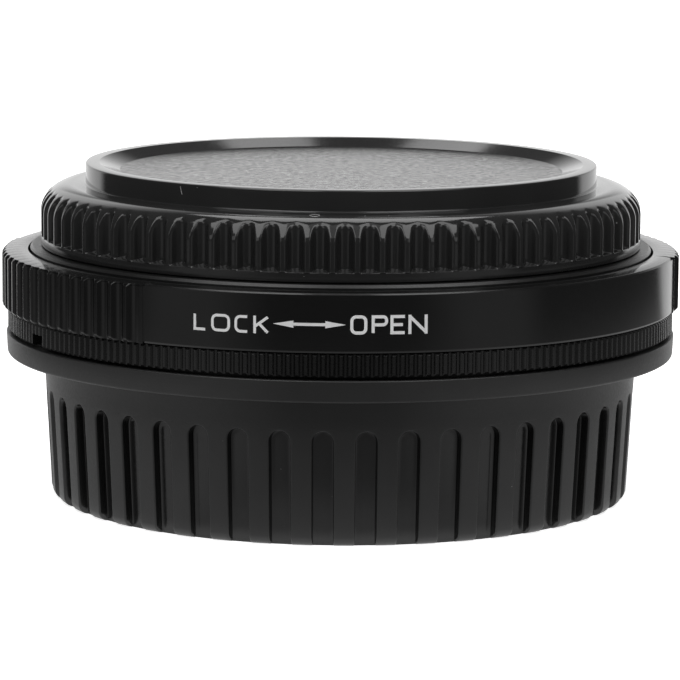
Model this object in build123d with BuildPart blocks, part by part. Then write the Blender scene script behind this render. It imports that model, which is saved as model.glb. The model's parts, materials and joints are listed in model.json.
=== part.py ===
"""Lens mount adapter with corrective glass and its two caps, in millimetres.

The rear cap stands on z = 0, and +Z runs up to the front cap. The lettered side of the control ring
faces -Y. Angles are turned about +Z from that side, positive towards +X.
"""

import os
from math import cos, degrees, radians, sin, tan

from build123d import *

third_turn = 120.0
half_turn = 180.0

# Clearances
cap_gap = 0.3  # between a cap and the bayonet that it slides off
running_gap = 0.05  # radial, a turning ring on its bearing face
end_float = 0.1  # axial, a turning ring between the faces that hold it
seat_gap = 0.05  # radial, a fixed piece in its recess or thread
overcut = 1.0  # a cutter runs this far past the face that it opens

# Lens side, from the throat outwards
throat_radius = 24.0
neck_wall = 1.6
neck_height = 2.95
front_lug_reach = 1.4
front_lug_height = 1.5
front_lug_angle = 50.0
front_lug_facing = 30.0
front_plate_margin = 1.05  # width of the plate that shows round the front cap
front_plate_height = 2.35
front_plate_bevel = 0.25

# Front cap
front_cap_wall = 1.85
front_cap_lift = 0.08  # from the front plate up to the lip of the cap
front_cap_lip = 0.92
front_cap_plate = 3.0
front_cap_shoulder_width = 3.0
front_cap_shoulder_height = 2.6
flute_count = 80
flute_angle = 67.0  # between the two sides of a flute
flute_round = 0.6
flute_depth = 0.95
flute_facing = 0.8
cap_rim_inset = 4.33
cap_rim_height = 2.02
cap_rim_land = 1.32
cap_rim_round = 0.15
cap_dish_slope = 2.0
cap_dish_depth = 0.74
cap_disc_thickness = 1.6
cap_rim_wall = 2.32  # from the side of the rim in to the hollow under the disc
cap_lug_clear_angle = 10.0  # either side of a cap lug, in the space between two mount lugs

# Control ring
ring_counterbore_gap = 0.2
ring_wall = 2.1
ring_height = 5.4
ring_lip_height = 3.4
ring_crown = 0.08  # the inner edge of the top face stands this much above the outer edge
ring_top_bevel = 0.3
ring_bottom_bevel = 0.2
pad_height = 0.45
pad_bevel = 0.5
pad_angle = 66.6
pad_facing = -66.7
pad_flute_count = 21
pad_flute_radius = 0.85
pad_flute_depth = 0.45
ring_travel = 36.0

# Body
hub_wall = 4.4
bore_relief = 0.5  # the body's bore is this much wider than the throat
band_height = 2.1
band_inset = 0.1
band_bevel = 0.2
rim_wall = 0.9
rim_notch_width = 2.1
rim_notch_height = 1.1
rim_notch_facing = -61.6

# Aperture drive
actuator_width = 2.7
actuator_height = 2.0
actuator_lift = 0.2
actuator_pin_radius = 0.9
actuator_pin_facing = 195.0
actuator_pin_socket = 1.4
actuator_pin_height = 3.3  # above the actuator ring
drive_screw_radius = 0.7
drive_screw_facings = (160.0, 225.0)
drive_screw_sink = 0.3
drive_screw_slot = 0.3
drive_slot_clearance = 0.15

# Camera side
rear_plate_proud = 0.3
rear_plate_height = 1.2
rear_plate_land = 4.5
rear_lug_reach = 1.4
rear_lug_height = 1.4
rear_lug_drop = 1.1
rear_lug_angle = 52.0
rear_lug_facing = 0.0
barrel_wall = 1.5
barrel_length = 5.2
stop_pin_radius = 0.6
stop_pin_reach = 1.2
stop_pin_clear_angle = 2.5
lock_hole_radius = 1.6
lock_hole_depth = 1.9
lock_hole_facing = 90.0

# Screws of the two bayonets
screw_head_radius = 1.3
screw_shank_radius = 0.75
screw_edge = 0.15
cross_length = 1.5
cross_width = 0.35
cross_depth = 0.35
front_screw_length = 7.2
rear_screw_length = 2.2
rear_screw_count = 4
rear_screw_facing = 45.0

# Rear cap
rear_cap_height = 16.1
rear_cap_floor = 2.0
rear_cap_bore_gap = 0.5
rear_cap_wall = 2.85
rear_cap_draft = 3.1
rear_cap_flange_width = 3.65
rear_cap_flange_height = 2.06
rear_cap_flange_draft = 0.1
rear_cap_edge_round = 0.3
rear_cap_foot_round = 0.95
rear_cap_foot_width = 3.0
rear_cap_foot_recess = 0.4
rear_cap_lug_gap = 0.1
rear_cap_lug_room = 0.4
rear_cap_lug_clear_angle = 11.0
slot_count = 45
slot_width = 2.0
slot_depth = 0.9
slot_top = 10.8
slot_facing = -3.0

# Corrective glass and its cell
cell_flange_gap = 0.5
cell_flange_width = 0.8
cell_flange_height = 0.6
cell_wall = 2.4
cell_lip_width = 1.2
cell_lip_height = 1.0
rear_element_edge = 1.4
rear_element_curve = 90.0
front_element_edge = 2.4
front_element_curve = 70.0
spacer_width = 0.9
spacer_height = 0.8
retainer_width = 1.5
retainer_height = 1.0
retainer_sink = 0.2
retainer_slot_width = 1.0
retainer_slot_depth = 0.5

# Heights that follow
rear_face = rear_cap_height
band_bottom = rear_face + rear_plate_proud
band_top = band_bottom + band_height
rear_plate_top = rear_face + rear_plate_height
ring_bottom = band_top + end_float
ring_lip_top = ring_bottom + ring_lip_height
ring_top = ring_bottom + ring_height
hub_top = ring_lip_top + end_float
front_plate_top = hub_top + front_plate_height
front_face = front_plate_top + neck_height
front_lug_bottom = front_face - front_lug_height
cap_lip_bottom = front_plate_top + front_cap_lift
flute_bottom = cap_lip_bottom + front_cap_lip
cap_flange_top = front_face + front_cap_plate
cap_shoulder_bottom = cap_flange_top - front_cap_shoulder_height
cap_top = cap_flange_top + cap_rim_height
cap_disc_top = cap_top - cap_dish_depth
cap_hollow_top = cap_disc_top - cap_disc_thickness
rear_lug_top = rear_face - rear_lug_drop
rear_lug_bottom = rear_lug_top - rear_lug_height
stop_pin_height = rear_lug_bottom + rear_lug_height / 2
barrel_end = rear_face - barrel_length
rear_cap_flange_bottom = rear_cap_height - rear_cap_flange_height
actuator_bottom = band_top + actuator_lift
actuator_top = actuator_bottom + actuator_height
drive_height = actuator_bottom + actuator_height / 2
cell_top = band_top + cell_flange_height
retainer_top = cell_top - retainer_sink
front_element_top = retainer_top - retainer_height
front_element_bottom = front_element_top - front_element_edge
rear_element_top = front_element_bottom - spacer_height
rear_element_bottom = rear_element_top - rear_element_edge
cell_bottom = rear_element_bottom - cell_lip_height

# Angles that follow
pad_flute_span = pad_angle * (1 - 1 / pad_flute_count)

# Radii that follow
neck_radius = throat_radius + neck_wall
front_lug_radius = neck_radius + front_lug_reach
cap_cavity_radius = front_lug_radius + cap_gap
cap_radius = cap_cavity_radius + front_cap_wall
flute_point_radius = cap_radius - flute_depth + flute_round - flute_round / sin(radians(flute_angle / 2))
cap_rim_radius = cap_radius - cap_rim_inset
cap_hollow_radius = cap_rim_radius - cap_rim_wall
front_plate_radius = cap_radius + front_plate_margin
counterbore_radius = front_plate_radius + ring_counterbore_gap
ring_radius = counterbore_radius + ring_wall
pad_radius = ring_radius + pad_height
pad_flute_circle = pad_radius - pad_flute_depth + pad_flute_radius
bore_radius = throat_radius + bore_relief
hub_radius = bore_radius + hub_wall
band_radius = ring_radius - band_inset
plate_recess_radius = band_radius - rim_wall
rear_plate_radius = plate_recess_radius - seat_gap
rear_lug_radius = rear_plate_radius - rear_plate_land
barrel_radius = rear_lug_radius - rear_lug_reach
barrel_bore_radius = barrel_radius - barrel_wall
front_screw_circle = front_lug_radius - screw_edge - screw_head_radius
rear_screw_circle = (rear_lug_radius + rear_plate_radius) / 2
rear_cap_bore_radius = barrel_radius + rear_cap_bore_gap
rear_cap_cavity_radius = rear_lug_radius + cap_gap
rear_cap_radius = rear_cap_bore_radius + rear_cap_wall
rear_cap_base_radius = rear_cap_radius - rear_cap_flange_bottom * tan(radians(rear_cap_draft))
rear_cap_flange_radius = rear_cap_radius + rear_cap_flange_width
actuator_radius = bore_radius - running_gap
actuator_bore_radius = actuator_radius - actuator_width
actuator_pin_circle = actuator_bore_radius + actuator_width / 2
cell_flange_radius = actuator_bore_radius - cell_flange_gap
cell_radius = cell_flange_radius - cell_flange_width
cell_bore_radius = cell_radius - cell_wall
element_radius = cell_bore_radius - seat_gap


def polar(facing):
    """Angle from +X of a direction that is given from the lettered side."""
    return facing - half_turn / 2


def thirds(facing):
    """Directions of three lugs, a third of a turn apart."""
    return [facing, facing + third_turn, facing + 2 * third_turn]


def radial_plane(facing, height):
    """Plane across a radius: its normal runs outwards and its y axis runs up."""
    angle = radians(polar(facing))
    return Plane((0, 0, height), x_dir=(-sin(angle), cos(angle), 0), z_dir=(cos(angle), sin(angle), 0))


def sector(inner, outer, facing, width):
    """Part of a flat ring, drawn in the open sketch."""
    start = polar(facing) - width / 2
    with BuildLine() as outline:
        outside = CenterArc((0, 0), outer, start, width)
        inside = CenterArc((0, 0), inner, start, width)
        Line(outside @ 0, inside @ 0)
        Line(outside @ 1, inside @ 1)
    make_face(outline.edges())


def washer(inner, outer):
    """Flat ring, drawn in the open sketch."""
    Circle(outer)
    Circle(inner, mode=Mode.SUBTRACT)


def turned(*points):
    """Turn the closed outline of (radius, height) points about the axis, in the open part."""
    with BuildSketch(Plane.XZ) as outline:
        with BuildLine():
            Polyline(*points, close=True)
        make_face()
    revolve(outline.sketch, axis=Axis.Z)


def screw_form(length, gap=0.0):
    """Flat-headed screw, or the hole for one, hanging from its head at the origin."""
    head = screw_head_radius + gap
    shank = screw_shank_radius + gap
    with BuildPart() as form:
        turned((0, 0), (head, 0), (shank, shank - head), (shank, -length - gap), (0, -length - gap))
    return form.part


def screw(length):
    """Flat-headed screw with a cross recess, hanging from its head at the origin."""
    with BuildPart() as whole:
        add(screw_form(length))
        with BuildSketch():
            Rectangle(cross_length, cross_width)
            Rectangle(cross_width, cross_length)
        extrude(amount=-cross_depth, mode=Mode.SUBTRACT)
    return whole.part


def screw_places(height, circle, count, facing):
    """Places of one ring of screws, on their head face."""
    return [
        Location((0, 0, height)) * place
        for place in PolarLocations(circle, count, start_angle=polar(facing)).locations
    ]


front_screws_at = screw_places(front_face, front_screw_circle, 3, front_lug_facing)
front_screw_hole = screw_form(front_screw_length, seat_gap)
rear_screws_at = screw_places(rear_face, rear_screw_circle, rear_screw_count, rear_screw_facing)
rear_screw = screw(rear_screw_length).rotate(Axis.X, half_turn)
rear_screw_hole = screw_form(rear_screw_length, seat_gap).rotate(Axis.X, half_turn)
front_lug_facings = thirds(front_lug_facing)
cap_lug_facings = thirds(front_lug_facing + third_turn / 2)
rear_lug_facings = thirds(rear_lug_facing)
rear_cap_lug_facings = thirds(rear_lug_facing + third_turn / 2)
stop_pin_facing = rear_lug_facing + rear_lug_angle / 2 + stop_pin_clear_angle

# Cross-section of one flute of the front cap: a wedge with a rounded point, which lies at the origin
with BuildSketch() as flute:
    flute_reach = cap_radius - flute_point_radius + overcut
    flute_half_width = flute_reach * tan(radians(flute_angle / 2))
    Polygon(
        (0, 0),
        (flute_reach, -flute_half_width),
        (flute_reach, flute_half_width),
        align=None,
    )
    fillet(flute.vertices().sort_by(Axis.X)[0], radius=flute_round)

# Front cap: flange with a fluted edge, raised rim and dished disc, bayonet lugs inside
with BuildPart() as front_cap:
    with BuildSketch(Plane.XZ):
        with BuildLine():
            outside = Polyline(
                (0, cap_hollow_top),
                (cap_hollow_radius, cap_hollow_top),
                (cap_hollow_radius, front_face),
                (cap_cavity_radius, front_face),
                (cap_cavity_radius, cap_lip_bottom),
                (cap_radius, cap_lip_bottom),
                (cap_radius, cap_shoulder_bottom),
            )
            shoulder = EllipticalCenterArc(
                (cap_radius - front_cap_shoulder_width, cap_shoulder_bottom),
                front_cap_shoulder_width,
                front_cap_shoulder_height,
            )
            Polyline(
                shoulder @ 1,
                (cap_rim_radius, cap_flange_top),
                (cap_rim_radius, cap_top),
                (cap_rim_radius - cap_rim_land, cap_top),
                (cap_rim_radius - cap_rim_land - cap_dish_slope, cap_disc_top),
                (0, cap_disc_top),
                outside @ 0,
            )
        make_face()
    revolve(axis=Axis.Z)
    rim_edges = front_cap.edges().filter_by(GeomType.CIRCLE).group_by(Axis.Z)[-1]
    fillet(rim_edges, radius=cap_rim_round)
    with BuildSketch(Plane.XY.offset(flute_bottom)):
        with PolarLocations(flute_point_radius, flute_count, start_angle=polar(flute_facing)):
            add(flute.sketch)
    extrude(amount=cap_top - flute_bottom, mode=Mode.SUBTRACT)
    with BuildSketch(Plane.XY.offset(cap_lip_bottom + front_cap_lift)):
        for facing in cap_lug_facings:
            sector(
                neck_radius + cap_gap,
                cap_cavity_radius + front_cap_wall / 2,
                facing,
                third_turn - front_lug_angle - 2 * cap_lug_clear_angle,
            )
    extrude(amount=front_lug_bottom - front_cap_lift - cap_lip_bottom - front_cap_lift)
front_cap.part.label = "front_cap"

# Front mount: the plate that traps the control ring, and the male bayonet of the lens side
with BuildPart() as front_mount:
    turned(
        (bore_radius, hub_top),
        (front_plate_radius, hub_top),
        (front_plate_radius, front_plate_top - front_plate_bevel),
        (front_plate_radius - front_plate_bevel, front_plate_top),
        (neck_radius, front_plate_top),
        (neck_radius, front_face),
        (throat_radius, front_face),
        (throat_radius, front_plate_top),
        (bore_radius, front_plate_top),
    )
    with BuildSketch(Plane.XY.offset(front_lug_bottom)):
        for facing in front_lug_facings:
            sector(throat_radius + neck_wall / 2, front_lug_radius, facing, front_lug_angle)
    extrude(amount=front_lug_height)
    with Locations(*front_screws_at):
        add(front_screw_hole, mode=Mode.SUBTRACT)
front_mount.part.label = "front_mount"

# Screws that hold the front mount down on the hub
with BuildPart() as front_mount_screws:
    with Locations(*front_screws_at):
        add(screw(front_screw_length))
front_mount_screws.part.label = "front_mount_screws"

# Finger pads of the control ring: two fluted lengths of a bevelled ring
with BuildPart() as finger_pads:
    turned(
        (ring_radius - ring_wall / 2, ring_bottom),
        (pad_radius - pad_bevel, ring_bottom),
        (pad_radius, ring_bottom + pad_bevel),
        (pad_radius, ring_top - pad_bevel),
        (pad_radius - pad_bevel, ring_top),
        (ring_radius - ring_wall / 2, ring_top),
    )
    with BuildSketch(Plane.XY.offset(ring_bottom)):
        for facing in (pad_facing, pad_facing + half_turn):
            sector(ring_radius - ring_wall, pad_radius, facing, pad_angle)
            with PolarLocations(
                pad_flute_circle,
                pad_flute_count,
                start_angle=polar(facing) - pad_flute_span / 2,
                angular_range=pad_flute_span,
                endpoint=True,
            ):
                Circle(pad_flute_radius, mode=Mode.SUBTRACT)
    extrude(amount=ring_height, mode=Mode.INTERSECT)

# Control ring: bearing lip, smooth lettered band and two fluted finger pads
with BuildPart() as control_ring:
    turned(
        (hub_radius + running_gap, ring_bottom),
        (ring_radius - ring_bottom_bevel, ring_bottom),
        (ring_radius, ring_bottom + ring_bottom_bevel),
        (ring_radius, ring_top - ring_top_bevel),
        (ring_radius - ring_top_bevel, ring_top),
        (counterbore_radius, ring_top + ring_crown),
        (counterbore_radius, ring_lip_top),
        (hub_radius + running_gap, ring_lip_top),
    )
    add(finger_pads.part)
    for facing in drive_screw_facings:
        with BuildSketch(radial_plane(facing, drive_height)):
            Circle(drive_screw_radius + seat_gap)
        extrude(amount=ring_radius + overcut, mode=Mode.SUBTRACT)
control_ring.part.label = "control_ring"

# Actuator ring, which turns in the bore of the body with the control ring
with BuildPart() as actuator_ring:
    with BuildSketch(Plane.XY.offset(actuator_bottom)):
        washer(actuator_bore_radius, actuator_radius)
    extrude(amount=actuator_height)
    with BuildSketch(Plane.XY.offset(actuator_top)):
        with PolarLocations(actuator_pin_circle, 1, start_angle=polar(actuator_pin_facing)):
            Circle(actuator_pin_radius + seat_gap)
    extrude(amount=-actuator_pin_socket, mode=Mode.SUBTRACT)
    for facing in drive_screw_facings:
        with BuildSketch(radial_plane(facing, drive_height)):
            Circle(drive_screw_radius + seat_gap)
        extrude(amount=actuator_radius + overcut, mode=Mode.SUBTRACT)
actuator_ring.part.label = "actuator_ring"

# Pin that pushes the aperture lever of the lens
with BuildPart() as actuator_pin:
    with BuildSketch(Plane.XY.offset(actuator_top - actuator_pin_socket)):
        with PolarLocations(actuator_pin_circle, 1, start_angle=polar(actuator_pin_facing)):
            Circle(actuator_pin_radius)
    extrude(amount=actuator_pin_socket + actuator_pin_height)
    fillet(actuator_pin.edges().group_by(Axis.Z)[-1], radius=actuator_pin_radius / 2)
actuator_pin.part.label = "actuator_pin"

# Headless screws from the control ring, through the slots of the hub, into the actuator ring
with BuildPart() as drive_screws:
    for facing in drive_screw_facings:
        with BuildSketch(radial_plane(facing, drive_height)):
            Circle(drive_screw_radius)
        extrude(amount=ring_radius - drive_screw_sink)
    with BuildSketch(Plane.XY.offset(actuator_bottom)):
        Circle(actuator_bore_radius)
    extrude(amount=actuator_height, mode=Mode.SUBTRACT)
    for facing in drive_screw_facings:
        with BuildSketch(radial_plane(facing, drive_height).offset(ring_radius - drive_screw_sink)):
            Rectangle(2 * drive_screw_radius + overcut, cross_width)
        extrude(amount=-drive_screw_slot, mode=Mode.SUBTRACT)
drive_screws.part.label = "drive_screws"

# Body: knurled band, hub for the control ring and web for the lens cell
with BuildPart() as adapter_body:
    turned(
        (cell_radius + seat_gap, rear_plate_top),
        (plate_recess_radius, rear_plate_top),
        (plate_recess_radius, band_bottom),
        (band_radius - band_bevel, band_bottom),
        (band_radius, band_bottom + band_bevel),
        (band_radius, band_top - band_bevel),
        (band_radius - band_bevel, band_top),
        (hub_radius, band_top),
        (hub_radius, hub_top),
        (bore_radius, hub_top),
        (bore_radius, band_top),
        (cell_radius + seat_gap, band_top),
    )
    slot_half_height = drive_screw_radius + drive_slot_clearance
    slot_ends_angle = degrees(2 * slot_half_height / bore_radius)
    with BuildSketch(Plane.XY.offset(drive_height - slot_half_height)):
        for facing in drive_screw_facings:
            sector(
                bore_radius - overcut,
                hub_radius + overcut,
                facing + ring_travel / 2,
                ring_travel + slot_ends_angle,
            )
    extrude(amount=2 * slot_half_height, mode=Mode.SUBTRACT)
    with Locations(*front_screws_at):
        add(front_screw_hole, mode=Mode.SUBTRACT)
    with Locations(*rear_screws_at):
        add(rear_screw_hole, mode=Mode.SUBTRACT)
    with BuildSketch(Plane.XY.offset(rear_face)):
        with PolarLocations(rear_screw_circle, 1, start_angle=polar(lock_hole_facing)):
            Circle(lock_hole_radius)
    extrude(amount=lock_hole_depth, mode=Mode.SUBTRACT)
    with BuildSketch(radial_plane(rim_notch_facing, band_bottom).offset(plate_recess_radius - seat_gap)):
        Rectangle(rim_notch_width, rim_notch_height, align=(Align.CENTER, Align.MIN))
    extrude(amount=rim_wall + overcut, mode=Mode.SUBTRACT)
adapter_body.part.label = "adapter_body"

# Rear mount: plate and male bayonet of the camera side
with BuildPart() as rear_mount:
    with BuildSketch(Plane.XY.offset(rear_face)):
        washer(barrel_bore_radius, rear_plate_radius)
    extrude(amount=rear_plate_height)
    with BuildSketch(Plane.XY.offset(barrel_end)):
        washer(barrel_bore_radius, barrel_radius)
    extrude(amount=barrel_length)
    with BuildSketch(Plane.XY.offset(rear_lug_bottom)):
        for facing in rear_lug_facings:
            sector(barrel_bore_radius + barrel_wall / 2, rear_lug_radius, facing, rear_lug_angle)
    extrude(amount=rear_lug_height)
    with Locations(*rear_screws_at):
        add(rear_screw_hole, mode=Mode.SUBTRACT)
    with BuildSketch(Plane.XY.offset(rear_face)):
        with PolarLocations(rear_screw_circle, 1, start_angle=polar(lock_hole_facing)):
            Circle(lock_hole_radius)
    extrude(amount=rear_plate_height, mode=Mode.SUBTRACT)
    with BuildSketch(radial_plane(stop_pin_facing, stop_pin_height)):
        Circle(stop_pin_radius + seat_gap)
    extrude(amount=rear_lug_radius, mode=Mode.SUBTRACT)
rear_mount.part.label = "rear_mount"

# Screws that hold the rear mount up in its recess
with BuildPart() as rear_mount_screws:
    with Locations(*rear_screws_at):
        add(rear_screw)
rear_mount_screws.part.label = "rear_mount_screws"

# Pin that stops the camera-side bayonet at the end of its turn
with BuildPart() as bayonet_stop_pin:
    with BuildSketch(radial_plane(stop_pin_facing, stop_pin_height).offset(barrel_bore_radius + seat_gap)):
        Circle(stop_pin_radius)
    extrude(amount=barrel_wall + stop_pin_reach)
bayonet_stop_pin.part.label = "bayonet_stop_pin"

# Lens cell, screwed into the web of the body
with BuildPart() as lens_cell:
    turned(
        (cell_bore_radius - cell_lip_width, cell_bottom),
        (cell_radius, cell_bottom),
        (cell_radius, band_top),
        (cell_flange_radius, band_top),
        (cell_flange_radius, cell_top),
        (cell_bore_radius, cell_top),
        (cell_bore_radius, rear_element_bottom),
        (cell_bore_radius - cell_lip_width, rear_element_bottom),
    )
lens_cell.part.label = "lens_cell"

# Rear element: flat on top, bulging down through the lip of the cell
with BuildPart() as rear_element:
    with BuildSketch(Plane.XZ):
        with BuildLine():
            bulge_radius = cell_bore_radius - cell_lip_width - seat_gap
            edge = Polyline(
                (0, rear_element_top),
                (element_radius, rear_element_top),
                (element_radius, rear_element_bottom),
                (bulge_radius, rear_element_bottom),
            )
            bulge = rear_element_curve - (rear_element_curve**2 - bulge_radius**2) ** 0.5
            face = RadiusArc(edge @ 1, (0, rear_element_bottom - bulge), rear_element_curve)
            Line(face @ 1, edge @ 0)
        make_face()
    revolve(axis=Axis.Z)
rear_element.part.label = "rear_element"

# Spacer between the two elements
with BuildPart() as element_spacer:
    with BuildSketch(Plane.XY.offset(rear_element_top)):
        washer(element_radius - spacer_width, element_radius)
    extrude(amount=spacer_height)
element_spacer.part.label = "element_spacer"

# Front element: flat below, hollow on top
with BuildPart() as front_element:
    with BuildSketch(Plane.XZ):
        with BuildLine():
            hollow_radius = element_radius - retainer_width
            edge = Polyline(
                (0, front_element_bottom),
                (element_radius, front_element_bottom),
                (element_radius, front_element_top),
                (hollow_radius, front_element_top),
            )
            hollow = front_element_curve - (front_element_curve**2 - hollow_radius**2) ** 0.5
            face = RadiusArc(edge @ 1, (0, front_element_top - hollow), front_element_curve)
            Line(face @ 1, edge @ 0)
        make_face()
    revolve(axis=Axis.Z)
front_element.part.label = "front_element"

# Threaded ring that holds the glass in its cell, with two spanner slots
with BuildPart() as cell_retaining_ring:
    with BuildSketch(Plane.XY.offset(front_element_top)):
        washer(element_radius - retainer_width, element_radius)
    extrude(amount=retainer_height)
    with BuildSketch(Plane.XY.offset(retainer_top)):
        Rectangle(2 * cell_radius, retainer_slot_width)
    extrude(amount=-retainer_slot_depth, mode=Mode.SUBTRACT)
cell_retaining_ring.part.label = "cell_retaining_ring"

# Cutter for one grip slot of the rear cap, leaning with the draft of the wall
wall_lean = radians(rear_cap_draft)
slot_plane = Plane(
    (0, slot_depth - rear_cap_base_radius, 0),
    x_dir=(1, 0, 0),
    z_dir=(0, -cos(wall_lean), -sin(wall_lean)),
)
with BuildPart() as slot_cutter:
    with BuildSketch(slot_plane):
        straight = slot_top - slot_width / 2
        with Locations((0, -overcut)):
            Rectangle(slot_width, straight + overcut, align=(Align.CENTER, Align.MIN))
        with Locations((0, straight)):
            Circle(slot_width / 2)
    extrude(amount=slot_depth + overcut)

# Rear cap: drafted cup with a flange, a slotted grip and bayonet lugs inside
with BuildPart() as rear_cap:
    turned(
        (0, rear_cap_foot_recess),
        (rear_cap_base_radius - rear_cap_foot_width, rear_cap_foot_recess),
        (rear_cap_base_radius - rear_cap_foot_width, 0),
        (rear_cap_base_radius, 0),
        (rear_cap_radius, rear_cap_flange_bottom),
        (rear_cap_flange_radius - rear_cap_flange_draft, rear_cap_flange_bottom),
        (rear_cap_flange_radius, rear_cap_height),
        (rear_cap_cavity_radius, rear_cap_height),
        (rear_cap_cavity_radius, rear_lug_bottom - rear_cap_lug_room),
        (rear_cap_bore_radius, rear_lug_bottom - rear_cap_lug_room),
        (rear_cap_bore_radius, rear_cap_floor),
        (0, rear_cap_floor),
    )
    round_edges = rear_cap.edges().filter_by(GeomType.CIRCLE)
    foot_edge = round_edges.group_by(Axis.Z)[0].sort_by(SortBy.RADIUS)[-1]
    flange_edges = round_edges.sort_by(SortBy.RADIUS)[-2:]
    fillet(foot_edge, radius=rear_cap_foot_round)
    fillet(flange_edges, radius=rear_cap_edge_round)
    with PolarLocations(0, slot_count, start_angle=slot_facing):
        add(slot_cutter.part, mode=Mode.SUBTRACT)
    with BuildSketch(Plane.XY.offset(rear_lug_top + rear_cap_lug_gap)):
        for facing in rear_cap_lug_facings:
            sector(
                barrel_radius + cap_gap,
                rear_cap_cavity_radius + rear_cap_flange_width / 2,
                facing,
                third_turn - rear_lug_angle - 2 * rear_cap_lug_clear_angle,
            )
    extrude(amount=rear_lug_drop - 2 * rear_cap_lug_gap)
rear_cap.part.label = "rear_cap"

os.makedirs("parts", exist_ok=True)
for piece in (
    front_cap,
    front_mount,
    front_mount_screws,
    control_ring,
    actuator_ring,
    actuator_pin,
    drive_screws,
    adapter_body,
    rear_mount,
    rear_mount_screws,
    bayonet_stop_pin,
    lens_cell,
    front_element,
    element_spacer,
    rear_element,
    cell_retaining_ring,
    rear_cap,
):
    export_step(piece.part, f"parts/{piece.part.label}.step")
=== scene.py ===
"""Looks of the lens mount adapter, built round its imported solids.

Lengths are millimetres until they become points, which are metres. Facings are degrees about +Z from
the lettered side (-Y), positive towards +X.
"""

import json
from math import acos, cos, degrees, pi, radians, sin, tan

import bmesh
import bpy
import numpy as np
from mathutils import Euler, Matrix, Vector


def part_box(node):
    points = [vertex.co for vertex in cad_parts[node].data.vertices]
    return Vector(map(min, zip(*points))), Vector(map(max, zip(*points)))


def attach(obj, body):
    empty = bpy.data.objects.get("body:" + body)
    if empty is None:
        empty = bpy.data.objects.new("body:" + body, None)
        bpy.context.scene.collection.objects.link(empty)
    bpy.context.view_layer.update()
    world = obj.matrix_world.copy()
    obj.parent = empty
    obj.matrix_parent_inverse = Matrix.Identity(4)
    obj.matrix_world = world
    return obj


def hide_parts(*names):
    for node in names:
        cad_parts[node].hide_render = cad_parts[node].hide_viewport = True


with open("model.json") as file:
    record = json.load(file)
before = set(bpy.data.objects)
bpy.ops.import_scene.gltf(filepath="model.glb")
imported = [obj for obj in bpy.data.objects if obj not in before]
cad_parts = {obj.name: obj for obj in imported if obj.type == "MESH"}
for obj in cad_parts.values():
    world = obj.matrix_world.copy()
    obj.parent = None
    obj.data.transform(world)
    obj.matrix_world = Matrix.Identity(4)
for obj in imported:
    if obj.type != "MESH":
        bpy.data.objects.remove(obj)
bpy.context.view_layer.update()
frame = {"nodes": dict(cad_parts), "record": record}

mm = 0.001
half_turn = 180.0
full_turn = 360.0
third_turn = 120.0
crease_angle = 38.0


def node_box(name):
    """Lowest and highest corner of a solid, in millimetres."""
    low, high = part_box(name)
    return np.array(low) / mm, np.array(high) / mm


front_cap_low, front_cap_high = node_box("front_cap")
ring_low, ring_high = node_box("control_ring")
body_low, body_high = node_box("adapter_body")
rear_cap_high = node_box("rear_cap")[1]
front_mount_high = node_box("front_mount")[1]
band_bottom = body_low[2]


def add_object(name, data):
    """New object in the scene."""
    added = bpy.data.objects.new(name, data)
    bpy.context.scene.collection.objects.link(added)
    return added


# Rings of points and the skins between them


def ring(facings, radii, heights):
    """One ring of points round the axis, in millimetres."""
    angles = np.radians(facings)
    radii = np.broadcast_to(radii, angles.shape)
    heights = np.broadcast_to(heights, angles.shape)
    return np.stack([radii * np.sin(angles), -radii * np.cos(angles), heights], axis=1)


def pole(height):
    """A ring that has shrunk to one point on the axis."""
    return np.array([[0.0, 0.0, height]])


def even_facings(count, first=0.0):
    """Facings of evenly spread columns."""
    return first + np.arange(count) * full_turn / count


def repeated(middles, offsets, radii, heights):
    """One ring with the same columns about every middle."""
    facings = (middles[:, None] + offsets[None, :]).ravel()
    radii, heights = (np.tile(np.broadcast_to(v, offsets.shape), len(middles)) for v in (radii, heights))
    return ring(facings, radii, heights)


def skin_faces(rows, closed):
    """Faces between neighbouring rings, whose counts are equal or a whole multiple of each other."""
    starts = np.cumsum([0] + [len(row) for row in rows])
    pairs = [(i, i + 1) for i in range(len(rows) - 1)]
    if closed:
        pairs.append((len(rows) - 1, 0))
    faces = []
    for a, b in pairs:
        steps = min(len(rows[a]), len(rows[b]))
        if steps == 1:
            wide, point = (a, b) if len(rows[a]) > 1 else (b, a)
            count = len(rows[wide])
            for i in range(count):
                faces.append([starts[wide] + i, starts[wide] + (i + 1) % count, starts[point]])
            continue
        a_share, b_share = len(rows[a]) // steps, len(rows[b]) // steps
        for i in range(steps):
            below = [starts[a] + (i * a_share + j) % len(rows[a]) for j in range(a_share + 1)]
            above = [starts[b] + (i * b_share + j) % len(rows[b]) for j in range(b_share + 1)]
            faces.append(below + above[::-1])
    return [[int(index) for index in face] for face in faces]


def new_piece(name, shells):
    """Object made of closed shells, each a pair of points in millimetres and faces."""
    points, faces, start = [], [], 0
    for shell_points, shell_faces in shells:
        points.append(np.asarray(shell_points))
        faces += [[start + index for index in face] for face in shell_faces]
        start += len(shell_points)
    mesh = bpy.data.meshes.new(name)
    mesh.from_pydata((np.concatenate(points) * mm).tolist(), [], faces)
    work = bmesh.new()
    work.from_mesh(mesh)
    bmesh.ops.recalc_face_normals(work, faces=work.faces)
    work.to_mesh(mesh)
    work.free()
    shade(mesh, crease_angle)
    return add_object(name, mesh)


def shade(mesh, crease):
    """Smooth shading, with hard edges where faces meet at more than this angle."""
    mesh.shade_smooth()
    mesh.set_sharp_from_angle(angle=radians(crease))


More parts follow.
